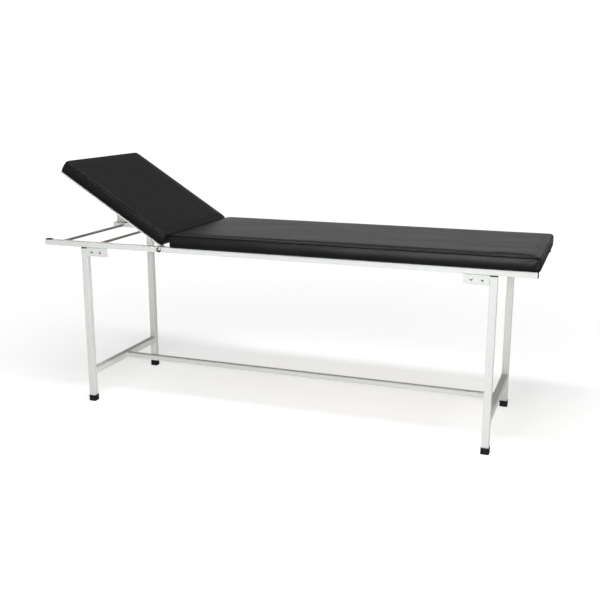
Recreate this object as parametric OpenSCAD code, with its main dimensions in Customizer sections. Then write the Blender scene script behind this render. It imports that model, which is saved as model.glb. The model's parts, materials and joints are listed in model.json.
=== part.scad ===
// Two-section examination couch: bolted tube frame, fixed seat pad and a hinged, clamped backrest.
// X runs from the head end to the foot end, Y from the near side to the far side, Z up from the floor.

/* [Frame] */
// Length of the side rails, with their end plugs
rail_l = 1830; // [1700:10:2000]
// Width of the frame over the two side rails
frame_w = 510; // [480:5:640]
// Height of the side rails' underside above the floor
rail_z = 610; // [560:5:700]
// Width of a side rail
rail_w = 25; // [25:1:30]
// Depth of a side rail
rail_h = 20; // [20:1:25]
// Side of a square leg tube
leg_s = 25; // [25:1:30]
// Distance from the rails' head end to the head legs
head_overhang = 159; // [120:1:180]
// Distance from the foot legs to the rails' foot end
foot_overhang = 124; // [100:1:180]

/* [Lower frame] */
// Underside of the lower crossbars above the floor
crossbar_z = 105; // [80:1:200]
// Side of the stretcher tube
stretcher_s = 20; // [16:1:22]

/* [Pads] */
// Thickness of both pads
pad_t = 47; // [40:1:70]
// Distance that the pads overhang the rails on each side
pad_over = 1; // [0:0.5:2]
// Seat pad's head end, measured from the backrest's hinge axis
seat_pad_gap = 43; // [42:1:60]
// Distance that the seat pad passes the rails at the foot end
seat_pad_over = 6; // [0:1:20]
// Length of the backrest pad
back_pad_l = 486; // [440:1:486]
// Thickness of the plywood boards inside the pads
board_t = 12; // [9:1:15]

/* [Backrest] */
// Distance from the rails' head end to the hinge axis
hinge_from_head = 491; // [480:1:520]
// Angle of the raised backrest above the frame
back_angle = 32; // [10:1:32]
// Thickness of the backrest's flat bars
bar_t = 5; // [4:1:6]
// Height of the bars' underside above the hinge axis, with the backrest flat
bar_drop = 14; // [13.8:0.2:16]
// Radius of the clamp slot about the hinge axis
slot_r = 150; // [130:5:170]

/* [Hidden] */
$fn = 48;
fit = 0.05;            // radial clearance of a running fit
gap = 0.3;             // space between a moving part and its neighbour
rail_wall = 1.6;
tube_wall = 1.5;
tube_r = 2.5;          // outer corner radius of every tube
plug_t = 2;            // thickness of a plastic end plug's cap
plug_in = 12;          // depth of an end plug inside its tube
ferrule_h = 23;
ferrule_floor = 5;
ferrule_wall = 2;
leg_cap_t = 4;         // black cap between a leg's top and the rail
rod_d = 10;
head_rod_x = 50;       // rods, measured from the rails' head end
inner_rod_x = 214;
tab_l = 84;            // bolted tabs between legs and rails
tab_h = 33;
tab_t = 5;
tab_bolts = [22, 58];  // bolts, measured from the leg's inboard face
bar_w = 32;
lug_t = 4.7;
lug_r = 10;
m5_r = 2.5;
m6_r = 3;
screw_r = 2.2;
screw_l = 14;
pivot_r = 5;
clamp_r = 4;
washer_t = 1;
pivot_nut_h = 8;
bearer_w = 20;
seat_bolt_bite = 8;     // length of a seat bolt inside the board
slot_end = 2;          // degrees that the clamp slot runs past each end of the travel
far = 400;              // outside every arc of the clamp plate
quadrant_band = 12;    // clamp plate on each side of its slot's centre line
knob_bore = 18;
knob_neck = 12;
post_s = 25;
post_h = 95;
post_up_from = -2;     // post's lower end, measured from the rails' underside
socket_r = 8.1;
socket_l = 60;
flange_t = 2.5;
spacer_t = 5;
pad_margin = 8;        // vinyl and foam round the edge of a board

head_x = -rail_l / 2;
foot_x = rail_l / 2;
side_y = frame_w / 2;
rail_in_y = side_y - rail_w;
rail_top = rail_z + rail_h;
leg_in_y = side_y - leg_s;
head_leg_x = head_x + head_overhang;
foot_leg_x = foot_x - foot_overhang - leg_s;
leg_top = rail_z - leg_cap_t;
hinge_x = head_x + hinge_from_head;
hinge_z = rail_z + rail_h / 2;
rod_z = hinge_z;
pad_side_y = side_y + pad_over;
lug_y = rail_in_y - washer_t - gap;    // outer face of a hinge lug
clamp_in_y = lug_y - lug_t - gap - washer_t;
pad_low = bar_drop + bar_t;            // backrest pad's underside above the hinge axis
back_head_x = 2 - back_pad_l;          // backrest's head end, from the hinge axis
seat_x0 = hinge_x + seat_pad_gap;
seat_x1 = foot_x + seat_pad_over;
bar_in_y = pad_side_y - bar_w;
post_y0 = side_y + spacer_t;
post_x0 = head_x;
post_z0 = rail_z + post_up_from;
post_top = post_z0 + post_h;
post_mid = [post_x0 + post_s / 2, post_y0 + post_s / 2];
screw_z = post_top - 14;
knob_l = 25.5;
y_far = post_y0 + post_s;              // furthest points of the couch along Y
y_near = -side_y - 5;
mid_x = (head_x + seat_x1) / 2;
mid_y = (y_near + y_far) / 2;
powder = [0.86, 0.87, 0.85];
plastic = [0.06, 0.06, 0.06];
vinyl = [0.09, 0.09, 0.10];
steel = [0.70, 0.70, 0.72];
ply = [0.72, 0.56, 0.38];
bearer_xs = [seat_x0 + 40, (seat_x0 + foot_x) / 2, foot_leg_x - 60];
bearer_bolt_y = 150;
side_screw_xs = [-90, -190, -290, -390];
leaf_screw_xs = [-13, -28];
head_screw_ys = [-150, 0, 150];
hinge_bar_x = -80;
side_bar_end = -48;

// ---- placing -------------------------------------------------------------

// The couch's own coordinates, moved so that the origin is under the middle of the whole object
module couch() translate([-mid_x, -mid_y, 0]) children();

// The far side is the near side mirrored
module far_side() mirror([0, 1, 0]) children();

// Parts of the backrest are drawn lying flat from the hinge axis, then raised
module backrest() couch() translate([hinge_x, 0, hinge_z]) rotate([0, back_angle, 0]) children();

// Parts on the pivot axis, drawn from the couch's centre plane
module at_pivot() couch() translate([hinge_x, 0, hinge_z]) children();

// A cylinder along +Y
module rod_y(r, l) rotate([-90, 0, 0]) cylinder(r = r, h = l);

// ---- stock ---------------------------------------------------------------

module round_rect(w, h, r) {
    translate([r, 0]) square([w - 2 * r, h]);
    translate([0, r]) square([w, h - 2 * r]);
    for (x = [r, w - r]) for (y = [r, h - r]) translate([x, y]) circle(r = r);
}

// Turns a profile drawn in X and Y, and extruded in Z, to run along X (0), Y (1) or Z (2)
module along(axis) {
    if (axis == 0) rotate([90, 0, 90]) children();
    if (axis == 1) mirror([0, 1, 0]) rotate([90, 0, 0]) children();
    if (axis == 2) children();
}

// A bar with rounded edges, and a tube with the same edges
module round_bar(w, h, l, r, axis) along(axis) linear_extrude(height = l) round_rect(w, h, r);
module box_tube(w, h, l, wall, axis) along(axis) linear_extrude(height = l) difference() {
    round_rect(w, h, tube_r);
    translate([wall, wall]) round_rect(w - 2 * wall, h - 2 * wall, tube_r - wall);
}

module hex_nut(across, h, bore) {
    difference() {
        cylinder(r = across / sqrt(3), h = h, $fn = 6);
        translate([0, 0, -1]) cylinder(r = bore, h = h + 2);
    }
}

module washer(r, bore, t) {
    difference() {
        cylinder(r = r, h = t);
        translate([0, 0, -1]) cylinder(r = bore, h = t + 2);
    }
}

// Domed bolt head with its flat underside on z = 0, growing along +Z
module dome_head(r, h) {
    rotate_extrude() intersection() {
        translate([0, h - (r * r + h * h) / (2 * h)]) circle(r = (r * r + h * h) / (2 * h), $fn = 96);
        square([r, h]);
    }
}

// ---- frame ---------------------------------------------------------------

module side_rail(holes) {
    difference() {
        translate([head_x, -side_y, rail_z]) box_tube(rail_w, rail_h, rail_l - plug_t, rail_wall, 0);
        for (h = holes) translate([hinge_x + h[0], -side_y - 1, hinge_z]) rod_y(h[1], rail_w + 2);
    }
}
module side_rail_near() color(powder) couch() side_rail([[0, pivot_r]]);
module side_rail_far() color(powder) couch() far_side() side_rail([[0, pivot_r], [-slot_r, clamp_r]]);

// Plugs sit flush in the rails at the head end, and have a cap at the foot end
module rail_plug(x) translate([x, -side_y + rail_wall, rail_z + rail_wall])
    round_bar(rail_w - 2 * rail_wall, rail_h - 2 * rail_wall, plug_in, tube_r - rail_wall, 0);
module rail_end_plugs() color(plastic) couch() for (side = [0, 1]) mirror([0, side, 0]) {
    rail_plug(head_x);
    rail_plug(foot_x - plug_t - plug_in);
    translate([foot_x - plug_t, -side_y, rail_z]) round_bar(rail_w, rail_h, plug_t, tube_r, 0);
}

module leg(x) {
    translate([x, -side_y, ferrule_floor])
        box_tube(leg_s, leg_s, leg_top - ferrule_floor, tube_wall, 2);
}
module leg_head_near() color(powder) couch() leg(head_leg_x);
module leg_head_far() color(powder) couch() far_side() leg(head_leg_x);
module leg_foot_near() color(powder) couch() leg(foot_leg_x);
module leg_foot_far() color(powder) couch() far_side() leg(foot_leg_x);

// A cap and the spigot that fills the tube below it
module tube_plug(s, t, l) {
    spigot = s - 2 * tube_wall;
    round_bar(s, s, t, tube_r, 2);
    translate([tube_wall, tube_wall, -l]) round_bar(spigot, spigot, l, tube_r - tube_wall, 2);
}
module leg_top_caps() color(plastic) couch()
    for (side = [0, 1]) mirror([0, side, 0])
        for (x = [head_leg_x, foot_leg_x]) translate([x, -side_y, leg_top])
            tube_plug(leg_s, leg_cap_t, plug_in);

module ferrule(x) {
    outer = leg_s + 2 * ferrule_wall;
    difference() {
        translate([x - ferrule_wall, -side_y - ferrule_wall, 0])
            round_bar(outer, outer, ferrule_h, tube_r + ferrule_wall, 2);
        translate([x, -side_y, ferrule_floor]) round_bar(leg_s, leg_s, ferrule_h, tube_r, 2);
    }
}
module ferrule_head_near() color(plastic) couch() ferrule(head_leg_x);
module ferrule_head_far() color(plastic) couch() far_side() ferrule(head_leg_x);
module ferrule_foot_near() color(plastic) couch() ferrule(foot_leg_x);
module ferrule_foot_far() color(plastic) couch() far_side() ferrule(foot_leg_x);

module crossbar(x) translate([x, -leg_in_y, crossbar_z])
    box_tube(leg_s, leg_s, 2 * leg_in_y, tube_wall, 1);
module crossbar_head() color(powder) couch() crossbar(head_leg_x);
module crossbar_foot() color(powder) couch() crossbar(foot_leg_x);
module stretcher() color(powder) couch()
    translate([head_leg_x + leg_s, -stretcher_s / 2, crossbar_z + 4])
        box_tube(stretcher_s, stretcher_s, foot_leg_x - head_leg_x - leg_s, tube_wall, 0);

// A leg's tab lies flush with the leg's outer face, and the rail's tab lies behind it
module tab_plate(layer, top) {
    difference() {
        translate([0, -side_y + layer * tab_t, rail_z - tab_h]) cube([tab_l, tab_t, tab_h - top]);
        for (x = tab_bolts) translate([x, -side_y + layer * tab_t - 1, rail_z - tab_h / 2])
            rod_y(m5_r, tab_t + 2);
    }
}
module at_each_tab() couch()
    for (side = [0, 1]) mirror([0, side, 0]) {
        translate([head_leg_x + leg_s, 0, 0]) children();
        translate([foot_leg_x, 0, 0]) mirror([1, 0, 0]) children();
    }
module leg_tabs() color(powder) at_each_tab() tab_plate(0, 0.5);
module rail_tabs() color(powder) at_each_tab() tab_plate(1, 0);
module tab_bolts_m5() color(steel) at_each_tab()
    for (x = tab_bolts) translate([x, -side_y, rail_z - tab_h / 2]) {
        rotate([90, 0, 0]) difference() {
            dome_head(4.7, 2.8);
            rotate(x) translate([-6, -0.6, 1.6]) cube([12, 1.2, 2]);
        }
        rod_y(m5_r, 2 * tab_t + 7);
    }
module tab_nuts_m5() color(steel) at_each_tab()
    for (x = tab_bolts) translate([x, -side_y + 2 * tab_t, rail_z - tab_h / 2])
        rotate([-90, 0, 0]) hex_nut(8, 4, m5_r);

module cross_rod(x) translate([head_x + x, -rail_in_y, rod_z]) rod_y(rod_d / 2, 2 * rail_in_y);
module head_rod() color(steel) couch() cross_rod(head_rod_x);
module inner_rod() color(steel) couch() cross_rod(inner_rod_x);

// ---- seat ----------------------------------------------------------------

module seat_bearer(x) {
    difference() {
        translate([x - bearer_w / 2, -rail_in_y, rail_z])
            box_tube(bearer_w, rail_h, 2 * rail_in_y, tube_wall, 1);
        for (y = [-bearer_bolt_y, bearer_bolt_y]) translate([x, y, rail_z - 1])
            cylinder(r = m6_r, h = rail_h + 2);
    }
}
module seat_bearer_head() color(powder) couch() seat_bearer(bearer_xs[0]);
module seat_bearer_middle() color(powder) couch() seat_bearer(bearer_xs[1]);
module seat_bearer_foot() color(powder) couch() seat_bearer(bearer_xs[2]);

module pad_board(x0, x1, z) {
    side = pad_side_y - pad_margin;
    translate([x0 + pad_margin, -side, z]) cube([x1 - x0 - 2 * pad_margin, 2 * side, board_t]);
}
module pad_block(x0, x1, z) {
    difference() {
        translate([x0, -pad_side_y, z]) cube([x1 - x0, 2 * pad_side_y, pad_t]);
        pad_board(x0, x1, z);
    }
}
module at_seat_bolts() couch()
    for (x = bearer_xs) for (y = [-bearer_bolt_y, bearer_bolt_y]) translate([x, y, rail_z]) children();
module seat_board() color(ply) difference() {
    couch() pad_board(seat_x0, seat_x1, rail_top);
    at_seat_bolts() cylinder(r = m6_r, h = rail_h + seat_bolt_bite);
}
module seat_cushion() color(vinyl) couch() pad_block(seat_x0, seat_x1, rail_top);
module seat_bolts_m6() color(steel) at_seat_bolts() {
    mirror([0, 0, 1]) dome_head(6, 3.3);
    cylinder(r = m6_r, h = rail_h + seat_bolt_bite);
}

// ---- hinge ---------------------------------------------------------------

module pivot_bolt() {
    translate([0, -side_y - washer_t, 0]) rotate([90, 0, 0]) dome_head(8, 4);
    translate([0, -side_y - washer_t, 0])
        rod_y(pivot_r, rail_w + 3 * washer_t + 2 * gap + lug_t + pivot_nut_h + 1);
}
module pivot_bolt_near() color(steel) at_pivot() pivot_bolt();
module pivot_bolt_far() color(steel) at_pivot() far_side() pivot_bolt();
module pivot_washers() color(steel) at_pivot()
    for (side = [0, 1]) mirror([0, side, 0])
        for (y = [-side_y - washer_t, -rail_in_y, -lug_y + lug_t + gap])
            translate([0, y, 0]) rotate([-90, 0, 0]) washer(9.5, pivot_r, washer_t);
module pivot_nuts_m10() color(steel) at_pivot()
    for (side = [0, 1]) mirror([0, side, 0])
        translate([0, -lug_y + lug_t + gap + washer_t, 0]) rotate([-90, 0, 0])
            hex_nut(16, pivot_nut_h, pivot_r);

// Leaf under the pad with a lug that hangs inside the rail to the pivot bolt
module hinge_bracket() {
    leaf_x = [-36, -5];
    difference() {
        union() {
            translate([leaf_x[0], -pad_side_y, bar_drop]) cube([leaf_x[1] - leaf_x[0], bar_w, bar_t]);
            translate([leaf_x[0], -lug_y, 0]) cube([-leaf_x[0], lug_t, bar_drop]);
            translate([0, -lug_y, 0]) rod_y(lug_r, lug_t);
            translate([leaf_x[0], -lug_y, bar_drop - 2]) cube([leaf_x[1] - leaf_x[0], lug_t, 2 + bar_t]);
        }
        translate([0, -lug_y - 1, 0]) rod_y(pivot_r + fit, lug_t + 2);
        for (x = leaf_screw_xs) translate([x, -pad_side_y + bar_w / 2, bar_drop - 1])
            cylinder(r = screw_r, h = bar_t + 2);
    }
}
module hinge_bracket_near() color(powder) backrest() hinge_bracket();
module hinge_bracket_far() color(powder) backrest() far_side() hinge_bracket();

// ---- backrest ------------------------------------------------------------

module side_bar() {
    difference() {
        translate([back_head_x, -pad_side_y, bar_drop])
            cube([side_bar_end - back_head_x, bar_w, bar_t]);
        for (x = side_screw_xs) translate([x, -pad_side_y + bar_w / 2, bar_drop - 1])
            cylinder(r = screw_r, h = bar_t + 2);
    }
}
module back_side_bar_near() color(powder) backrest() side_bar();
module back_side_bar_far() color(powder) backrest() far_side() side_bar();

module cross_flat(x, screws) {
    difference() {
        translate([x, -bar_in_y, bar_drop]) cube([bar_w, 2 * bar_in_y, bar_t]);
        for (y = screws) translate([x + bar_w / 2, y, bar_drop - 1]) cylinder(r = screw_r, h = bar_t + 2);
    }
}
module back_head_bar() color(powder) backrest() cross_flat(back_head_x, head_screw_ys);
module back_hinge_bar() color(powder) backrest() cross_flat(hinge_bar_x, []);

module at_screws() {
    for (side = [0, 1]) mirror([0, side, 0])
        for (x = concat(side_screw_xs, leaf_screw_xs))
            translate([x, -pad_side_y + bar_w / 2, bar_drop]) children();
    for (y = head_screw_ys) translate([back_head_x + bar_w / 2, y, bar_drop]) children();
}
module back_screws() color(steel) backrest() at_screws() {
    mirror([0, 0, 1]) dome_head(4.2, 1.8);
    cylinder(r = screw_r, h = screw_l);
}
module back_board() color(ply) backrest() difference() {
    pad_board(back_head_x, 2, pad_low);
    at_screws() cylinder(r = screw_r, h = screw_l);
}
module back_cushion() color(vinyl) backrest() pad_block(back_head_x, 2, pad_low);

// Slotted arc about the hinge axis, welded under the far side bar. The bolt sits in the slot's
// upper end with the backrest flat, and in its lower end with the backrest raised.
module clamp_quadrant() {
    slot = clamp_r + gap;
    low = back_angle + slot_end;
    plate_low = low + 4;
    color(powder) backrest() far_side() translate([0, -lug_y + lug_t, 0]) rotate([90, 0, 0])
        linear_extrude(height = lug_t) difference() {
            arc_band(quadrant_band, [[0, bar_drop], [-far, bar_drop], [-far, -far * tan(plate_low)]]);
            arc_band(slot, [[-far, far * tan(slot_end)], [-far, -far * tan(low)]]);
            for (a = [-slot_end, low]) rotate(a) translate([-slot_r, 0]) circle(r = slot);
        }
}
module arc_band(half, edge) intersection() {
    difference() {
        circle(r = slot_r + half, $fn = 180);
        circle(r = slot_r - half, $fn = 180);
    }
    polygon(concat([[0, 0]], edge));
}

// Carriage bolt from inside the quadrant, through the far rail
module clamp_axis() at_pivot() translate([-slot_r, 0, 0]) children();
module clamp_bolt() color(steel) clamp_axis() {
    translate([0, clamp_in_y, 0]) rotate([90, 0, 0]) dome_head(9, 4.5);
    translate([0, clamp_in_y, 0]) rod_y(clamp_r, side_y + knob_bore - 1 - clamp_in_y);
}
module clamp_washers() color(steel) clamp_axis()
    for (y = [clamp_in_y, rail_in_y - washer_t, side_y])
        translate([0, y, 0]) rotate([-90, 0, 0]) washer(9, clamp_r, washer_t);
module at_knob() clamp_axis() translate([0, side_y + washer_t + gap, 0]) rotate([-90, 0, 0]) children();
module clamp_knob() color(plastic) at_knob() difference() {
    union() {
        cylinder(r = 10, h = knob_neck);
        translate([0, 0, knob_neck - 1]) linear_extrude(height = knob_l - knob_neck + 1) {
            circle(r = 13.5);
            for (i = [0:5]) rotate(i * 60) translate([14, 0]) circle(r = 5.5);
        }
    }
    translate([0, 0, -1]) cylinder(r = 6.5, h = knob_bore + 1);
}
module clamp_knob_insert() color(steel) at_knob() washer(6.5, clamp_r + fit, knob_bore);

// ---- pole socket at the far head corner ------------------------------------

module pole_post() color(powder) couch() difference() {
    translate([post_x0, post_y0, post_z0]) box_tube(post_s, post_s, post_h, tube_wall, 2);
    translate([post_mid[0], post_mid[1], screw_z]) rotate([0, 90, 0])
        cylinder(r = m6_r + fit, h = post_s);
}
module pole_post_spacer() color(powder) couch()
    translate([post_x0, side_y, rail_z]) cube([post_s, spacer_t, rail_h]);
module pole_bush() color(plastic) couch() difference() {
    translate([post_x0, post_y0, post_top]) tube_plug(post_s, flange_t, socket_l);
    translate([post_mid[0], post_mid[1], post_top - socket_l - 1]) cylinder(r = socket_r, h = socket_l + 5);
    translate([post_mid[0], post_mid[1], screw_z]) rotate([0, 90, 0])
        cylinder(r = m6_r + fit, h = post_s);
}
module pole_post_plug() color(plastic) couch()
    translate([post_x0, post_y0, post_z0]) mirror([0, 0, 1]) tube_plug(post_s, plug_t, plug_in);
module pole_screw() color(plastic) couch()
    translate([post_mid[0] + socket_r + gap, post_mid[1], screw_z]) rotate([0, 90, 0]) {
        cylinder(r = m6_r, h = 8);
        difference() {
            translate([0, 0, 6]) cylinder(r = 10, h = 12);
            for (i = [0:7]) rotate(i * 45) translate([11, 0, 5]) cylinder(r = 2.4, h = 14);
        }
    }

// ---- rubber buffers --------------------------------------------------------

module buffer(x) translate([x, -side_y + 3, rail_top]) cube([24, 16, bar_drop - rail_h / 2 - gap]);
module buffer_near() color(plastic) couch() buffer(head_x + 1);
module buffer_far() color(plastic) couch() far_side() buffer(head_x + 47);

side_rail_near();
side_rail_far();
rail_end_plugs();
leg_head_near();
leg_head_far();
leg_foot_near();
leg_foot_far();
leg_top_caps();
ferrule_head_near();
ferrule_head_far();
ferrule_foot_near();
ferrule_foot_far();
crossbar_head();
crossbar_foot();
stretcher();
leg_tabs();
rail_tabs();
tab_bolts_m5();
tab_nuts_m5();
head_rod();
inner_rod();
seat_bearer_head();
seat_bearer_middle();
seat_bearer_foot();
seat_board();
seat_cushion();
seat_bolts_m6();
pivot_bolt_near();
pivot_bolt_far();
pivot_washers();
pivot_nuts_m10();
hinge_bracket_near();
hinge_bracket_far();
back_side_bar_near();
back_side_bar_far();
back_head_bar();
back_hinge_bar();
back_board();
back_cushion();
back_screws();
clamp_quadrant();
clamp_bolt();
clamp_washers();
clamp_knob();
clamp_knob_insert();
pole_post();
pole_post_spacer();
pole_bush();
pole_post_plug();
pole_screw();
buffer_near();
buffer_far();
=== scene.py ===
"""Looks of the examination couch: upholstered pads, powder-coated frame, welds, hems and fasteners.

Lengths are in metres in the CAD part's own frame: +X to the foot end, +Y to the far side, +Z up.
"""
import json
import math

import bpy
import numpy as np
from mathutils import Matrix, Vector


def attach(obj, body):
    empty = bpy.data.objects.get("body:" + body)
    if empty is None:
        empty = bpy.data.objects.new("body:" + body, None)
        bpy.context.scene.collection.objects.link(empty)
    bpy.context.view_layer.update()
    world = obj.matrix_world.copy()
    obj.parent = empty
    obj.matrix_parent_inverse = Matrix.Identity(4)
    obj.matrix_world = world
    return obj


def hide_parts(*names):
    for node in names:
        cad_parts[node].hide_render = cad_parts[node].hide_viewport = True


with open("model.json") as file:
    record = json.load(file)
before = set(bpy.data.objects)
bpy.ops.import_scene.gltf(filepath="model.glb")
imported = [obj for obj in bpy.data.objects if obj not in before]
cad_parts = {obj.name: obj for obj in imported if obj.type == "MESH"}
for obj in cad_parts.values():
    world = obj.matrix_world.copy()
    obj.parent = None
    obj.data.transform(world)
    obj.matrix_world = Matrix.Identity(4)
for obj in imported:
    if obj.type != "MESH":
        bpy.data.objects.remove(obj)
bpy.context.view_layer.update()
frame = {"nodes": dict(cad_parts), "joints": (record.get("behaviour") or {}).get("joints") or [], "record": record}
nodes = frame["nodes"]
mm = 0.001

# ---- places that come from the frame ------------------------------------------------------

tilt = next(j for j in frame["joints"] if j["name"] == "backrest_tilt")
hinge = Vector(tilt["pos_m"])
middle_y = hinge.y
back_angle = math.radians(-tilt["range_deg"][0])
raise_back = Matrix.Translation(hinge) @ Matrix.Rotation(back_angle, 4, "Y")
upright = Matrix.Identity(4)


def local_box(node, turn=upright):
    """Lowest and highest corner of a CAD node in the axes that turn stands for."""
    back = turn.inverted()
    points = np.array([back @ v.co for v in nodes[node].data.vertices])
    return Vector(points.min(0)), Vector(points.max(0))


# ---- meshes -------------------------------------------------------------------------------


def into_scene(thing):
    """Links an object to the scene and returns it."""
    bpy.context.scene.collection.objects.link(thing)
    return thing


def add_mesh(name, points, faces, material):
    """A smooth-shaded object from points and faces."""
    mesh = bpy.data.meshes.new(name)
    mesh.from_pydata([tuple(p) for p in points], [], [tuple(f) for f in faces])
    mesh.materials.append(material)
    mesh.polygons.foreach_set("use_smooth", [True] * len(mesh.polygons))
    mesh.update()
    return into_scene(bpy.data.objects.new(name, mesh))


class Parts:
    """Collects many small meshes into one piece."""

    def __init__(self):
        self.points, self.faces = [], []

    def add(self, points, faces):
        start = len(self.points)
        self.points += [tuple(p) for p in points]
        self.faces += [tuple(start + i for i in f) for f in faces]

    def piece(self, name, turn, material, slot, body):
        """Makes the piece, turned from its own axes to rest, and lets it ride on a body."""
        points = [turn @ Vector(p) for p in self.points]
        made = add_mesh(name, points, self.faces, material)
        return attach(made, body)


def ring_faces(rings, sides):
    """Faces of a closed tube whose points go round one ring after another."""
    faces = []
    for i in range(rings - 1):
        for s in range(sides):
            t = (s + 1) % sides
            faces.append((i * sides + s, i * sides + t, (i + 1) * sides + t, (i + 1) * sides + s))
    last = (rings - 1) * sides
    faces.append(tuple(range(sides))[::-1])
    faces.append(tuple(last + s for s in range(sides)))
    return faces


def sweep(path, radii, sides, up):
    """A round tube along path, with its own radius at each point; up isn't along the path."""
    points = []
    for i, p in enumerate(path):
        ahead = (path[min(i + 1, len(path) - 1)] - path[max(i - 1, 0)]).normalized()
        side = ahead.cross(up).normalized()
        over = side.cross(ahead)
        for s in range(sides):
            a = 2 * math.pi * s / sides
            points.append(p + radii[i] * (math.cos(a) * side + math.sin(a) * over))
    return points, ring_faces(len(path), sides)


# ---- node materials -----------------------------------------------------------------------


class Nodes:
    """Adds nodes to a node tree and links them."""

    def __init__(self, tree):
        self.tree = tree

    def add(self, kind):
        return self.tree.nodes.new(kind)

    def link(self, source, target):
        self.tree.links.new(source, target)

    def split(self, vector):
        """The X, Y and Z of a vector, by name."""
        node = self.add("ShaderNodeSeparateXYZ")
        self.link(vector, node.inputs["Vector"])
        return node.outputs

    def math(self, kind, *values):
        """The result of a sum, product or other operation on numbers or sockets."""
        node = self.add("ShaderNodeMath")
        node.operation = kind
        for socket, value in zip(node.inputs, values):
            if isinstance(value, (int, float)):
                socket.default_value = value
            else:
                self.link(value, socket)
        return node.outputs["Value"]

    def ramp(self, value, stops):
        """Maps value through (position, grey or colour) stops."""
        node = self.add("ShaderNodeValToRGB")
        elements = node.color_ramp.elements
        while len(elements) < len(stops):
            elements.new(0.5)
        for element, (position, colour) in zip(elements, stops):
            grey = isinstance(colour, (int, float))
            element.position = position
            element.color = (colour, colour, colour, 1) if grey else (*colour, 1)
        self.link(value, node.inputs["Fac"])
        return node.outputs["Color"]


class Shader(Nodes):
    """A Principled material whose patterns lie in the object's own coordinates."""

    def __init__(self, name):
        self.material = bpy.data.materials.new(name)
        self.material.use_nodes = True
        super().__init__(self.material.node_tree)
        self.surface = self.tree.nodes["Principled BSDF"]
        self.place = self.add("ShaderNodeTexCoord").outputs["Object"]

    def set(self, **values):
        for name, value in values.items():
            self.surface.inputs[name.replace("_", " ")].default_value = value

    def stretched(self, scale):
        """The place, scaled by axis: a small scale draws a pattern out along that axis."""
        node = self.add("ShaderNodeMapping")
        node.inputs["Scale"].default_value = scale
        self.link(self.place, node.inputs["Vector"])
        return node.outputs["Vector"]

    def noise(self, scale, detail=3.0, rough=0.5, place=None):
        node = self.add("ShaderNodeTexNoise")
        node.inputs["Scale"].default_value = scale
        node.inputs["Detail"].default_value = detail
        node.inputs["Roughness"].default_value = rough
        self.link(place or self.place, node.inputs["Vector"])
        return node.outputs["Fac"]

    def cells(self, scale, feature="F1", output="Distance", place=None):
        node = self.add("ShaderNodeTexVoronoi")
        node.feature = feature
        node.inputs["Scale"].default_value = scale
        self.link(place or self.place, node.inputs["Vector"])
        return node.outputs[output]

    def attribute(self, name):
        node = self.add("ShaderNodeAttribute")
        node.attribute_name = name
        return node.outputs["Fac"]

    def bump(self, height, depth, below=None):
        """Adds a pattern of the given depth in metres to the surface's normal."""
        node = self.add("ShaderNodeBump")
        node.inputs["Strength"].default_value = 1.0
        node.inputs["Distance"].default_value = depth
        self.link(height, node.inputs["Height"])
        if below:
            self.link(below, node.inputs["Normal"])
        return node.outputs["Normal"]

    def finish(self, colour, roughness, normal):
        self.link(colour, self.surface.inputs["Base Color"])
        self.link(roughness, self.surface.inputs["Roughness"])
        self.link(normal, self.surface.inputs["Normal"])
        return self.material


def powder_coat():
    """Off-white satin powder coat with orange peel over a faintly uneven surface."""
    s = Shader("powder_coat")
    s.set(Specular_IOR_Level=0.4)
    tone = s.noise(3.0, detail=2.0)
    colour = s.ramp(tone, [(0.3, (0.68, 0.70, 0.675)), (0.7, (0.722, 0.742, 0.717))])
    peel = s.noise(520.0, detail=2.0)
    roughness = s.ramp(s.noise(14.0, detail=4.0), [(0.25, 0.33), (0.75, 0.47)])
    normal = s.bump(s.noise(9.0, detail=1.0), 0.4 * mm)
    return s.finish(colour, roughness, s.bump(peel, 0.18 * mm, normal))


def zinc():
    """Dull zinc plate with a fine spangle."""
    s = Shader("zinc_plate")
    s.set(Metallic=1.0)
    spangle = s.cells(260.0, output="Color")
    colour = s.ramp(spangle, [(0.0, (0.58, 0.58, 0.57)), (1.0, (0.74, 0.74, 0.73))])
    roughness = s.ramp(s.noise(420.0, detail=4.0), [(0.2, 0.40), (0.8, 0.60)])
    return s.finish(colour, roughness, s.bump(s.noise(900.0), 0.05 * mm))


def black_plastic():
    """Moulded black plastic with a fine spark texture."""
    s = Shader("black_plastic")
    s.set(Specular_IOR_Level=0.5)
    colour = s.ramp(s.noise(60.0), [(0.3, 0.010), (0.7, 0.018)])
    roughness = s.ramp(s.noise(35.0, detail=4.0), [(0.3, 0.42), (0.7, 0.6)])
    return s.finish(colour, roughness, s.bump(s.cells(1500.0), 0.06 * mm))


def black_rubber():
    """Matte black rubber with a little dust."""
    s = Shader("black_rubber")
    s.set(Specular_IOR_Level=0.35)
    dust = s.noise(90.0, detail=6.0, rough=0.7)
    colour = s.ramp(dust, [(0.35, 0.007), (0.75, 0.020)])
    roughness = s.ramp(dust, [(0.3, 0.62), (0.8, 0.85)])
    return s.finish(colour, roughness, s.bump(s.noise(1100.0, detail=4.0), 0.08 * mm))


def plywood():
    """Raw plywood: broad grain and fine fibre, both drawn out along X."""
    s = Shader("plywood")
    s.set(Specular_IOR_Level=0.3)
    grain = s.noise(30.0, detail=8.0, rough=0.65, place=s.stretched((0.35, 4.0, 9.0)))
    fibre = s.noise(220.0, detail=4.0, rough=0.6, place=s.stretched((0.08, 1.0, 1.0)))
    both = s.math("ADD", s.math("MULTIPLY", grain, 0.7), s.math("MULTIPLY", fibre, 0.3))
    dark, mid, light = (0.27, 0.20, 0.135), (0.37, 0.29, 0.205), (0.45, 0.37, 0.275)
    colour = s.ramp(both, [(0.35, dark), (0.5, mid), (0.65, light)])
    roughness = s.ramp(grain, [(0.3, 0.6), (0.7, 0.78)])
    return s.finish(colour, roughness, s.bump(both, 0.4 * mm))


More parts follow.
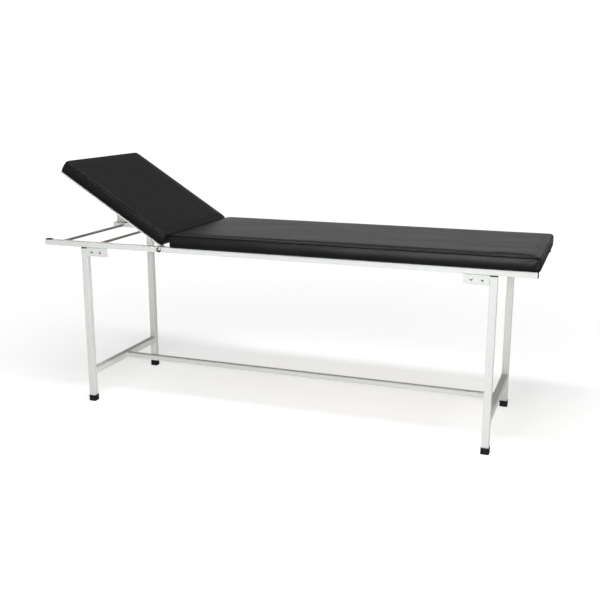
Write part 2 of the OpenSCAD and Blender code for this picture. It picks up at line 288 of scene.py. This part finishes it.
def vinyl():
    """Black leather-grain vinyl: pebbles divided by fine creases; the seams are rougher and carry painted shade,
    their reflection tinted black.
    """
    s = Shader("black_vinyl")
    s.set(Specular_IOR_Level=0.48)
    warp = s.stretched((1.0, 1.15, 1.1))
    pebble = s.cells(620.0, feature="SMOOTH_F1", place=warp)
    crease = s.cells(300.0, feature="DISTANCE_TO_EDGE", place=warp)
    crease = s.ramp(crease, [(0.0, 0.0), (0.12, 1.0)])
    pore = s.noise(2200.0, detail=2.0)
    uneven = s.noise(26.0, detail=5.0, rough=0.6, place=s.stretched((0.25, 1.0, 1.0)))
    colour = s.ramp(uneven, [(0.3, (0.0048, 0.0050, 0.0058)), (0.7, (0.0066, 0.0068, 0.0078))])
    worn = s.noise(18.0, detail=5.0, place=s.stretched((0.25, 1.4, 1.0)))
    roughness = s.ramp(worn, [(0.25, 0.37), (0.75, 0.45)])
    seam = s.attribute("crease")
    roughness = s.math("MAXIMUM", roughness, s.math("MULTIPLY", seam, 0.8))
    # painted shade: in the seams the reflection is tinted black where a real groove would fall into shade
    s.link(s.ramp(seam, [(0.1, 1.0), (0.6, 0.0)]), s.surface.inputs["Specular Tint"])
    normal = s.bump(uneven, 0.12 * mm)
    normal = s.bump(crease, 0.07 * mm, normal)
    normal = s.bump(pebble, 0.16 * mm, normal)
    return s.finish(colour, roughness, s.bump(pore, 0.02 * mm, normal))


paint = powder_coat()
steel = zinc()
cover = vinyl()
materials = {
    "frame_paint": paint,
    "zinc_steel": steel,
    "black_plastic": black_plastic(),
    "black_rubber": black_rubber(),
    "plywood": plywood(),
    "black_vinyl": cover,
}
for sub in frame["record"]["subparts"]:
    mesh = nodes[sub["node"]].data
    mesh.materials.clear()
    mesh.materials.append(materials[sub["material_slot"]])

# ---- pads ---------------------------------------------------------------------------------

# the fine skin's points: close together near the edges, evenly spaced between
rise_steps = [s * mm for s in (0, 1.0, 1.9, 2.7, 3.5, 4.3, 5.2, 6.4, 8.2)]
flat_steps = [s * mm for s in (0, 1.2, 2.4, 3.8, 5.4, 6.9, 8.0, 10, 13, 17, 22)]
rise_step = 3.5 * mm
flat_step = 8 * mm
cloth_steps = (12 * mm, 12 * mm, 10 * mm)   # spacing of the cloth's points along X, Y and Z
cloth_frames = 20

corner_radius = np.array([6.5, 8, 8]) * mm
swell_out = np.array([0.6, 1.2, 3.4]) * mm   # most that the cover swells out, along X, Y and Z
swell_in = 0.1 * mm        # most that it sinks in
side_bulge = 4.4 * mm
end_bulge = 2.0 * mm
bulge_start = 18 * mm      # how soon the bulge grows away from a corner
corner_drop = 2.6 * mm     # how far the upper corners draw in
corner_reach = 11 * mm
seam_drop = 3.5 * mm       # distance from the pad's upper edge to the seams on its sides
seam_depth = 2.6 * mm
seam_width = 1.7 * mm
seam_lip = 0.5 * mm        # how far the cover stands up beside a seam
seam_shade = 2.4 * mm      # how far the seams' crease mask reaches: rougher vinyl there, with painted shade
foot_band = 6 * mm         # height of the even band above the pad's lower edge
turned_in = 5 * mm         # width of the underside's rounded border
clearance = 0.2 * mm       # gap between the board and the pad over it
tiny = 1e-7                # distance within which a point counts as lying on a face
far_off = 1.0              # distance that no seam reaches

# the two axes that each face lies along
flat_axes, long_axes, end_axes = (0, 1), (0, 2), (1, 2)
face_axes = {"under": flat_axes, "top": flat_axes, "near": long_axes, "far": long_axes}
face_axes |= {"head": end_axes, "foot": end_axes}


def fade(distance, reach):
    """From 0 at no distance to 1 well past reach."""
    return 1 - np.exp(-((distance / reach) ** 2))


def hump(distance, reach):
    """From 1 at no distance to 0 well past reach."""
    return np.exp(-((distance / reach) ** 2))


def spaced(length, ends, step):
    """Places from 0 to length: the given offsets from both ends, and even steps between."""
    first, last = ends[-1], length - ends[-1]
    count = max(2, round((last - first) / step))
    middle = [first + (last - first) * i / count for i in range(1, count)]
    return np.array(list(ends) + middle + [length - e for e in reversed(ends)])


def box_skin(us, vs, ws):
    """The skin of a block as points, quads and the six faces' grids of point numbers."""
    i, j, k = np.meshgrid(range(len(us)), range(len(vs)), range(len(ws)), indexing="ij")
    edge = (i == 0) | (i == len(us) - 1) | (j == 0) | (j == len(vs) - 1)
    edge |= (k == 0) | (k == len(ws) - 1)
    number = np.full(edge.shape, -1)
    number[edge] = np.arange(edge.sum())
    points = np.stack([us[i[edge]], vs[j[edge]], ws[k[edge]]], axis=1)
    sides = {
        "under": number[:, :, 0],
        "top": number[:, :, -1],
        "near": number[:, 0, :],
        "far": number[:, -1, :],
        "head": number[0, :, :],
        "foot": number[-1, :, :],
    }
    quads = []
    for name, grid in sides.items():
        corners = [grid[:-1, :-1], grid[1:, :-1], grid[1:, 1:], grid[:-1, 1:]]
        if name in ("under", "far", "head"):
            corners.reverse()
        quads += np.stack([c.ravel() for c in corners], axis=1).tolist()
    return points, quads, sides


def cubic_weights(fine, coarse):
    """Weights that carry values at even coarse places smoothly to the fine places."""
    t = np.clip(fine / (coarse[1] - coarse[0]), 0, len(coarse) - 1 - 1e-9)
    i = t.astype(int)
    f = t - i
    weights = np.zeros((len(fine), len(coarse)))
    rows = np.arange(len(fine))
    spline = (
        (-1, -0.5 * f + f**2 - 0.5 * f**3),
        (0, 1 - 2.5 * f**2 + 1.5 * f**3),
        (1, 0.5 * f + 2 * f**2 - 1.5 * f**3),
        (2, -0.5 * f**2 + 0.5 * f**3),
    )
    for shift, value in spline:
        np.add.at(weights, (rows, np.clip(i + shift, 0, len(coarse) - 1)), value)
    return weights


def inflated(points, quads, sides):
    """How far each point of a block's skin moves when its cover fills like cloth."""
    form = add_mesh("pad_form", points, quads, cover)
    held = form.vertex_groups.new(name="held")
    held.add(sides["under"].ravel().tolist(), 1.0, "REPLACE")
    cloth = form.modifiers.new("Cloth", "CLOTH")
    rules = cloth.settings
    rules.quality = 6
    rules.mass = 0.3
    rules.tension_stiffness = 30
    rules.compression_stiffness = 30
    rules.shear_stiffness = 15
    rules.bending_stiffness = 2
    rules.use_pressure = True
    rules.uniform_pressure_force = 4
    rules.effector_weights.gravity = 0
    rules.vertex_group_mass = "held"
    cloth.point_cache.frame_start = 1
    cloth.point_cache.frame_end = cloth_frames
    for number in range(1, cloth_frames + 1):
        bpy.context.scene.frame_set(number)
    graph = bpy.context.evaluated_depsgraph_get()
    filled = np.array([v.co for v in form.evaluated_get(graph).data.vertices])
    bpy.context.scene.frame_set(1)
    bpy.data.objects.remove(form)
    return filled - points


def waves(along, across, seed, shortest, longest, stretch=1.0, count=9):
    """Soft unevenness, mostly within 1.5 of zero, from waves with random lengths and directions.

    Each wave is between shortest and longest in metres, and stretch draws it out along the face.
    """
    draw = np.random.default_rng(seed)
    total = np.zeros_like(along)
    for _ in range(count):
        k = 2 * math.pi / draw.uniform(shortest, longest)
        way = draw.uniform(-math.pi, math.pi)
        phase = draw.uniform(0, 2 * math.pi)
        total += np.sin(k * (math.cos(way) * along / stretch + math.sin(way) * across) + phase)
    return total / math.sqrt(count)


class Skin:
    """A pad's skin as a fine block, with the distances that its shape depends on."""

    def __init__(self, size):
        self.size = size
        flat = [spaced(s, flat_steps, flat_step) for s in size[:2]]
        self.places = [*flat, spaced(size[2], rise_steps, rise_step)]
        self.points, self.quads, self.sides = box_skin(*self.places)
        x, y, z = self.points.T
        self.to_end = np.minimum(x, size[0] - x)
        self.to_side = np.minimum(y, size[1] - y)
        self.to_top = size[2] - z
        self.to_edge = np.minimum(self.to_side, self.to_end)
        # the face that each point belongs to, and its place along and across that face
        self.under = z < tiny
        self.on_top = self.to_top < tiny
        self.on_long = (self.to_side < tiny) & ~self.on_top
        self.on_end = (self.to_end < tiny) & ~self.on_top & ~self.on_long
        self.along = np.where(self.on_end, y, x)
        self.across = np.where(self.on_top, y, z)
        length = np.where(self.on_end, size[1], size[0])
        # distances from the nearest end of the face and from the seams
        self.corner = np.minimum(self.along, length - self.along)
        self.top_seam = np.abs(self.to_edge - self.to_top + seam_drop)
        self.top_seam[self.under] = far_off
        self.upright_seam = np.hypot(self.to_end, self.to_side)
        self.seam = np.minimum(self.top_seam, self.upright_seam)

    def swelling(self):
        """The simulated swelling, capped, carried to the fine skin and faded at its edges."""
        even = [spaced(s, [0], step) for s, step in zip(self.size, cloth_steps)]
        form, quads, coarse = box_skin(*even)
        outward = np.where(form > self.size / 2, 1.0, -1.0)
        swell = inflated(form, quads, coarse) * outward
        limit = np.where(swell > 0, swell_out, swell_in)
        swell = outward * limit * np.tanh(swell / limit)
        moved = np.zeros_like(self.points)
        for side, (a, b) in face_axes.items():
            first = cubic_weights(self.places[a], even[a])
            second = cubic_weights(self.places[b], even[b])
            moved[self.sides[side]] = np.einsum("ia,abc,jb->ijc", first, swell[coarse[side]], second)
        moved[:, 2] *= fade(self.to_edge, 26 * mm)
        moved[:, :2] *= fade(self.upright_seam, 20 * mm)[:, None]
        return moved

    def rounded(self):
        """The block with rounded edges, and the way out of it at each point."""
        core = np.clip(self.points, corner_radius, self.size - corner_radius)
        out = (self.points - core) / corner_radius
        out /= np.linalg.norm(out, axis=1)[:, None]
        return core + corner_radius * out, out

    def seams(self):
        """Height of the sewn grooves, with the cover standing up a little beside them."""
        height = -seam_depth * hump(self.top_seam, seam_width)
        height -= 0.6 * seam_depth * hump(self.upright_seam, seam_width) * (self.top_seam > seam_width)
        return height + seam_lip * hump(self.seam - 4 * mm, 2 * mm)

    def belly(self):
        """Height of the bulge that the foam gives the sides and ends, less the corners' drop."""
        rise = np.clip(self.points[:, 2] / self.size[2], 0, 1)
        belly = (1 - (2 * rise - 1) ** 2) * (1 - np.exp(-self.corner / bulge_start))
        drop = corner_drop * hump(np.hypot(self.upright_seam, self.to_top), corner_reach)
        return belly * (side_bulge * self.on_long + end_bulge * self.on_end) - drop

    def folds(self, seed):
        """Soft unevenness, gathers beside the seams and puckers at the corners."""
        along, across, on_top = self.along, self.across, self.on_top
        soft = np.where(on_top, 0.10, 0.40) * mm * waves(along, across, seed, 0.09, 0.30, stretch=1.6)
        streak = 0.025 * mm * waves(along, across, seed + 1, 0.018, 0.05, stretch=5.0) * on_top
        gather = np.where(on_top, 0.06, 0.22) * mm * np.exp(-self.top_seam / (11 * mm))
        gather = gather * waves(along, 0 * along, seed + 2, 0.013, 0.034)
        fan = np.arctan2(self.to_top, self.corner + 1e-6)
        pucker = mm * np.exp(-np.hypot(self.corner, self.to_top) / (30 * mm)) * np.sin(9 * fan + 0.6)
        pucker = pucker * (self.on_long | self.on_end)
        free = self.points[:, 2] > foot_band
        return fade(self.seam, 3 * mm) * free * (soft + streak + gather + pucker)

    def recessed(self, shape, margin, lift):
        """The shape with a flat underside that rises by lift where the board lies."""
        flat = self.under & (self.to_end > turned_in) & (self.to_side > turned_in)
        shape[flat] = self.points[flat]
        inside = (self.to_end > margin.x - 0.1 * mm) & (self.to_side > margin.y - 0.1 * mm)
        shape[self.under & inside, 2] += lift
        return shape


def pad(name, node, board, turn, seed):
    """A boxed vinyl pad over a board: seams on its upper and upright edges, and a recess below."""
    low, high = local_box(node, turn)
    board_low, board_high = local_box(board, turn)
    skin = Skin(np.array(high - low))
    shape, out = skin.rounded()
    height = skin.seams() + skin.belly() + skin.folds(seed)
    shape = shape + skin.swelling() + out * height[:, None]
    shape = skin.recessed(shape, board_low - low, board_high.z - low.z + clearance)
    piece = add_mesh(name, [turn @ (low + Vector(p)) for p in shape], skin.quads, cover)
    # crease mask: 1 in the seams, fading out; the vinyl roughens the seams with it and paints shade into them
    crease = piece.data.attributes.new("crease", "FLOAT", "POINT")
    crease.data.foreach_set("value", hump(skin.seam, seam_shade) * ~skin.under)
    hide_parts(node)
    return piece


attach(pad("seat_pad", "seat_cushion", "seat_board", upright, 11), "frame")
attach(pad("back_pad", "back_cushion", "back_board", raise_back, 47), "backrest")

# ---- hems and staples under the pads ------------------------------------------------------

hem_width = 15 * mm
hem_thick = 0.75 * mm
hem_clear = 4 * mm         # gap between a hem's end and the bearer or bar that interrupts it
hem_inset = 1 * mm         # gap between a hem and the board's edge
hem_gap = 1 * mm           # least gap between the hems at a corner
frame_clear = 0.8 * mm     # gap between a hem and the tube beside it
staple_pitch = 38 * mm
staple_half = 5 * mm
staple_wire = 0.35 * mm
staple_proud = 1.25 * mm
down = Vector((0, 0, -1))


def strip(parts, start, end, inward):
    """A flat band of folded vinyl from start to end, with a rounded inner fold and a soft wave."""
    length = (end - start).length
    count = max(4, round(length / (6 * mm)))
    profile = [(0, 0), (0, 1), (0.45, 1.05), (0.86, 1.15), (0.97, 0.8), (1, 0.4), (0.97, 0)]
    points = []
    for i in range(count + 1):
        t = i / count
        place = t * length
        wide = hem_width * (1 + 0.035 * math.sin(142 * place) + 0.025 * math.sin(346 * place + 1))
        spot = start.lerp(end, t)
        points += [spot + inward * (u * wide) + down * (v * hem_thick) for u, v in profile]
    parts.add(points, ring_faces(count + 1, len(profile)))


def staple(parts, place, way):
    """The crown of a wire staple with its bent shoulders."""
    foot, shoulder = -0.5 * mm, staple_half - 0.5 * mm
    leg = [(staple_half, foot), (staple_half, staple_proud * 0.7), (shoulder, staple_proud)]
    path = [(-u, v) for u, v in leg] + leg[::-1]
    path = [place + way * u + down * v for u, v in path]
    parts.add(*sweep(path, [staple_wire] * len(path), 6, way.cross(down)))


def hem_and_staples(name, turn, runs, body, seed):
    """Hems along the runs (start, end, inward) in turn's axes, with staples that wander a little."""
    hem, pins = Parts(), Parts()
    draw = np.random.default_rng(seed)
    for start, end, inward in runs:
        start, end, inward = Vector(start), Vector(end), Vector(inward)
        strip(hem, start, end, inward)
        way = (end - start).normalized()
        count = max(2, round((end - start).length / staple_pitch))
        for i in range(count):
            at = start.lerp(end, (i + 0.5) / count) + way * draw.uniform(-3, 3) * mm
            at += inward * draw.uniform(7, 9.5) * mm
            lean = draw.uniform(-0.25, 0.25)
            staple(pins, at, way * math.cos(lean) + inward * math.sin(lean))
    hem.piece(f"{name}_hem", turn, cover, "black_vinyl", body)
    pins.piece(f"{name}_staples", turn, steel, "zinc_steel", body)


def long_runs(stretches, half, z):
    """Runs along X on both sides, at half a width from the middle, one for each stretch."""
    return [
        ((x0, middle_y + side * half, z), (x1, middle_y + side * half, z), (0, -side, 0))
        for x0, x1 in stretches
        for side in (-1, 1)
    ]


def cross_run(x, half, z, way):
    """A run across the board at x, whose hem lies towards way along X."""
    return ((x, middle_y - half, z), (x, middle_y + half, z), (way, 0, 0))


bearer_names = ("seat_bearer_head", "seat_bearer_middle", "seat_bearer_foot")
bearers = sorted((local_box(name) for name in bearer_names), key=lambda b: b[0].x)
rail_high = local_box("side_rail_near")[1]
board_low, board_high = local_box("seat_board")
seat_half = middle_y - (rail_high.y + frame_clear)
seat_ends = (board_low.x + hem_inset, board_high.x - hem_inset)
stops = [seat_ends[0]]
for bearer_low, bearer_high in bearers:
    stops += [bearer_low.x - hem_clear, bearer_high.x + hem_clear]
stops.append(seat_ends[1])
cross_half = seat_half - hem_width - hem_gap
seat_runs = long_runs(zip(stops[::2], stops[1::2]), seat_half, board_low.z)
seat_runs += [cross_run(x, cross_half, board_low.z, way) for x, way in zip(seat_ends, (1, -1))]
hem_and_staples("seat", upright, seat_runs, "frame", 5)

bar_high = local_box("back_side_bar_near", raise_back)[1]
head_bar = local_box("back_head_bar", raise_back)
hinge_bar = local_box("back_hinge_bar", raise_back)
back_low, back_high = local_box("back_board", raise_back)
back_half = middle_y - bar_high.y - frame_clear
back_stretches = (
    (head_bar[1].x + hem_clear, hinge_bar[0].x - hem_clear),
    (hinge_bar[1].x + hem_clear, back_high.x - hem_inset - hem_width - 2 * hem_gap),
)
back_runs = long_runs(back_stretches, back_half, back_low.z)
back_runs.append(cross_run(back_high.x - hem_inset, back_half, back_low.z, -1))
hem_and_staples("back", raise_back, back_runs, "backrest", 6)

# ---- weld beads ---------------------------------------------------------------------------

ripple_pitch = 2.3 * mm
bead_step = 0.7 * mm
tube_bend = 2 * mm         # corner radius of the bead round a square tube
axis_x, axis_y, axis_z = Vector((1, 0, 0)), Vector((0, 1, 0)), Vector((0, 0, 1))


class Welds(Parts):
    """Weld beads in one piece; each bead's uneven width starts from the next seed."""

    def __init__(self):
        super().__init__()
        self.seed = 0

    def bead(self, path, radius, away, closed=False):
        """A rippled bead along path, half sunk in the corner; away points out of the corner."""
        path = [Vector(p) for p in path]
        if closed:
            path.append(path[0].copy())
        phase = np.random.default_rng(self.seed).uniform(0, 6)
        self.seed += 1
        fine, radii = [], []
        travelled = 0.0
        for a, b in zip(path, path[1:]):
            length = (b - a).length
            count = max(2, round(length / bead_step))
            for i in range(count):
                along = travelled + i / count * length
                ripple = 0.10 * math.sin(2 * math.pi * along / ripple_pitch)
                ripple += 0.08 * math.sin(740 * along + phase)
                fine.append(a.lerp(b, i / count))
                radii.append(radius * (1 + ripple))
            travelled += length
        fine.append(path[-1])
        radii.append(radius)
        if not closed:
            for k in range(min(3, len(radii) // 2)):
                radii[k] *= 0.35 + 0.25 * k
                radii[-1 - k] *= 0.35 + 0.25 * k
        self.add(*sweep(fine, radii, 8, away))

    def ends(self, node, axis, radius, round_bar=False):
        """A closed bead round each end of a bar that lies along an axis (0 for X, 1 for Y)."""
        low, high = local_box(node)
        first, second = [(low[k], high[k]) for k in range(3) if k != axis]
        bend = (first[1] - first[0]) / 2 * 0.999 if round_bar else tube_bend
        way = (axis_x, axis_y)[axis]
        for place in (low[axis], high[axis]):
            self.bead(loop_on(axis, place, first, second, bend), radius, way, closed=True)


def loop_on(axis, place, first, second, bend):
    """A rounded rectangle in the plane across an axis, from the ranges of the other two axes."""
    (a0, a1), (b0, b1) = first, second
    spots = []
    for k, (a, b) in enumerate([(a0, b0), (a1, b0), (a1, b1), (a0, b1)]):
        middle_a = a + bend * (1 if a == a0 else -1)
        middle_b = b + bend * (1 if b == b0 else -1)
        for i in range(5):
            angle = (k / 2 - 1 + i / 8) * math.pi
            spot = [middle_a + bend * math.cos(angle), middle_b + bend * math.sin(angle)]
            spot.insert(axis, place)
            spots.append(tuple(spot))
    return spots


def frame_beads(welds):
    """Beads at the crossbars, stretcher, rods, bearers and the pole post's spacer."""
    welds.seed = 100
    for node in ("crossbar_head", "crossbar_foot"):
        welds.ends(node, 1, 2.1 * mm)
    welds.ends("stretcher", 0, 2.1 * mm)
    for node in ("head_rod", "inner_rod"):
        welds.ends(node, 1, 1.5 * mm, round_bar=True)
    for low, high in bearers:
        for y in (low.y, high.y):
            for x in (low.x, high.x):
                welds.bead([(x, y, low.z + 2 * mm), (x, y, high.z - 4 * mm)], 1.8 * mm, axis_y)
    low, high = local_box("pole_post_spacer")
    for x in (low.x + 1.2 * mm, high.x - 1.2 * mm):
        for y in (low.y, high.y):
            welds.bead([(x, y, low.z + 2 * mm), (x, y, high.z - 2 * mm)], 1.6 * mm, axis_y)


def tab_beads(welds):
    """A bead along each rail tab's top, and a short one where each leg tab meets its leg."""
    welds.seed = 300
    low, high = local_box("rail_tabs")
    head_leg, foot_leg = local_box("leg_head_near"), local_box("leg_foot_near")
    tab_length, tab_thick = 84 * mm, 5 * mm
    for side in (-1, 1):
        face = middle_y + side * (high.y - middle_y)
        inner, outer = face - side * tab_thick, face + side * tab_thick
        for x0, way in ((head_leg[1].x, 1), (foot_leg[0].x, -1)):
            ends = (x0 + way * 6 * mm, x0 + way * (tab_length - 4 * mm))
            welds.bead([(x, inner, high.z) for x in ends], 1.9 * mm, side * axis_y)
            ends = (face + side * 0.6 * mm, outer - side * 0.6 * mm)
            welds.bead([(x0, y, low.z) for y in ends], 1.6 * mm, axis_z)


def back_beads(welds):
    """Beads at the backrest's cross bars, and at the clamp plate under its side bar."""
    welds.seed = 200
    for low, high in (head_bar, hinge_bar):
        for y in (low.y, high.y):
            welds.bead([(low.x + 1.5 * mm, y, low.z), (high.x - 1.5 * mm, y, low.z)], 1.8 * mm, axis_z)
    low, high = local_box("clamp_quadrant", raise_back)
    welds.bead([(low.x + 3 * mm, high.y, high.z), (low.x + 21 * mm, high.y, high.z)], 1.1 * mm, axis_z)


frame_welds = Welds()
frame_beads(frame_welds)
tab_beads(frame_welds)
frame_welds.piece("frame_welds", upright, paint, "frame_paint", "frame")
back_welds = Welds()
back_beads(back_welds)
back_welds.piece("back_welds", raise_back, paint, "frame_paint", "backrest")

# ---- floor --------------------------------------------------------------------------------

floor_half = 30.0          # half the floor's width
ramp_reach = 24.0          # distance from the middle that stands for 1 in the floor's ramps


def studio_floor():
    """A pale floor that glows as painted light, dimmer under the couch as painted shadow, and a little dimmer far
    to its near and foot sides.
    """
    s = Shader("studio_floor")
    s.set(Specular_IOR_Level=0.0, Roughness=1.0)
    s.set(Base_Color=(0.86, 0.86, 0.86, 1), Emission_Color=(1, 1, 1, 1))
    length = s.add("ShaderNodeVectorMath")
    length.operation = "LENGTH"
    s.link(s.place, length.inputs[0])
    place = s.split(s.place)
    from_middle = s.math("DIVIDE", length.outputs["Value"], ramp_reach)
    # painted shadow: the glow dips to 0.58 near the middle, under the couch
    away = s.ramp(from_middle, [(0.045, 0.58), (0.14, 0.95)])
    front = s.ramp(s.math("DIVIDE", place["Y"], -ramp_reach), [(0.065, 1.0), (0.14, 0.85)])
    right = s.ramp(s.math("DIVIDE", place["X"], ramp_reach), [(0.056, 1.0), (0.10, 0.85)])
    glow = s.math("MULTIPLY", away, s.math("MINIMUM", front, right))
    # painted light: the floor's emission lights the couch though the floor is no lamp
    s.link(glow, s.surface.inputs["Emission Strength"])
    return s.material


corners = [(-1, -1), (1, -1), (1, 1), (-1, 1)]
floor_points = [(floor_half * x, floor_half * y, 0) for x, y in corners]
floor = add_mesh("floor", floor_points, [(0, 1, 2, 3)], studio_floor())
floor.visible_glossy = False   # gloss sees the dark lower half of the world instead

# ---- light --------------------------------------------------------------------------------


def studio_world():
    """A room that lights the couch from the back most of all, and shows white to the camera."""
    world = bpy.data.worlds.new("studio")
    world.use_nodes = True
    sky = Nodes(world.node_tree)
    way = sky.split(sky.add("ShaderNodeTexCoord").outputs["Generated"])
    half_x, half_y, half_z = (sky.math("MULTIPLY_ADD", way[axis], 0.5, 0.5) for axis in "XYZ")
    walls = sky.ramp(half_y, [(0.15, 0.29), (0.36, 0.20), (0.62, 0.20), (0.80, 1.0)])
    shift = sky.ramp(half_x, [(0.15, 0.76), (0.42, 0.86), (0.54, 0.72), (0.66, 0.32)])
    high_stops = [(0.11, 1.0), (0.20, 0.55), (0.30, 0.08), (0.52, 0.08), (0.82, 0.42)]
    ceiling = sky.ramp(way["Z"], high_stops)
    below = sky.ramp(half_z, [(0.435, 0.10), (0.475, 1.0)])
    around, over = sky.math("MULTIPLY", walls, shift), sky.math("MULTIPLY", ceiling, below)
    shade = sky.math("MULTIPLY", around, over)
    seen = sky.add("ShaderNodeLightPath").outputs["Is Camera Ray"]
    background = sky.tree.nodes["Background"]
    background.inputs["Strength"].default_value = 1.5
    sky.link(sky.math("MAXIMUM", shade, seen), background.inputs["Color"])
    return world


def softbox(name, place, target, width, height, power):
    """A rectangular lamp at place that shines at target; the camera doesn't see the lamp itself."""
    light = bpy.data.lights.new(name, "AREA")
    light.shape = "RECTANGLE"
    light.size = width
    light.size_y = height
    light.energy = power
    lamp = into_scene(bpy.data.objects.new(name, light))
    lamp.location = place
    lamp.visible_camera = False
    lamp.rotation_euler = (Vector(target) - Vector(place)).to_track_quat("-Z", "Y").to_euler()


bpy.context.scene.world = studio_world()
softbox("key", (0.75, -2.45, 1.8), (0.6, 0, 0.6), 1.4, 0.5, 2)
softbox("low_key", (0.35, -2.85, 1.14), (0.6, 0, 0.6), 1.1, 0.42, 25)
softbox("overhead", (0.15, -0.80, 2.7), (0.15, -0.25, 0.6), 2.0, 0.34, 33)
softbox("side", (3.0, -0.9, 1.0), (0.8, 0, 0.4), 1.0, 1.0, 17)

# ---- camera -------------------------------------------------------------------------------

camera_azimuth = math.radians(20.04)
camera_elevation = math.radians(13.485)
camera_place = (1.1209, -3.0115, 1.1778)
camera_data = bpy.data.cameras.new("camera")
camera_data.lens = 52.01
camera_data.sensor_width = 36.0
camera_data.clip_end = 120.0
camera = into_scene(bpy.data.objects.new("camera", camera_data))
camera.location = camera_place
backward = Vector((
    math.sin(camera_azimuth) * math.cos(camera_elevation),
    -math.cos(camera_azimuth) * math.cos(camera_elevation),
    math.sin(camera_elevation),
))
camera.rotation_euler = (-backward).to_track_quat("-Z", "Y").to_euler()
bpy.context.scene.camera = camera
bpy.context.scene.view_settings.view_transform = "Standard"
